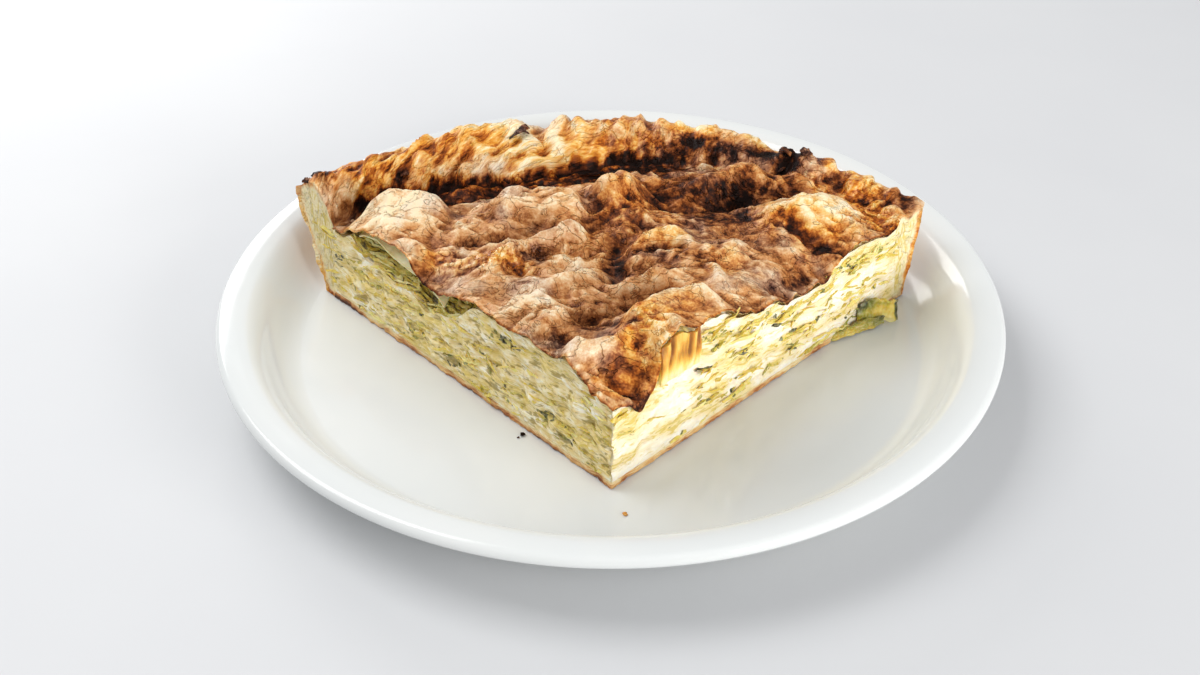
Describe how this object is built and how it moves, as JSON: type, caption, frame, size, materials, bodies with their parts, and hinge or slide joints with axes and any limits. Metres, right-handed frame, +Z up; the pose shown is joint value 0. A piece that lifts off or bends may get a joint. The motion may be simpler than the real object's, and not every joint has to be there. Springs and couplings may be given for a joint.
{
  "type": "plate of gibanica",
  "caption": "Quarter wedge of baked cheese, egg and leek filo pie with a wrinkled brown top, on a round white rimmed dinner plate.",
  "frame": {"origin": "centre of the plate's foot, on the surface that the plate stands on", "axes": "+Z up, the wedge's tip points to -Y and its baked outer rim faces +Y, +X to the right of a viewer who looks along +Y"},
  "size_m": [0.27, 0.27, 0.0563],
  "materials": {
    "glazed_porcelain": "white, glossy, transparent glaze",
    "baked_pastry_case": "baked dough, pale inside, golden to dark brown and satin outside",
    "cheese_leek_filling": "moist set cheese and egg curd with green and yellow leek",
    "browned_filo_crust": "thin wrinkled baked sheets, tan to scorched brown, satin",
    "pale_filo": "soft, pale cream to amber dough, matt",
    "cooked_leek": "limp, moist, yellow-green"
  },
  "bodies": {
    "root": {"plate": "glazed_porcelain", "pastry_case": "baked_pastry_case", "filling": "cheese_leek_filling", "top_crust": "browned_filo_crust", "inner_leaf": "pale_filo", "pleated_leaf": "pale_filo", "leek_strip_upper": "cooked_leek", "leek_strip_lower": "cooked_leek"}
  },
  "joints": []
}
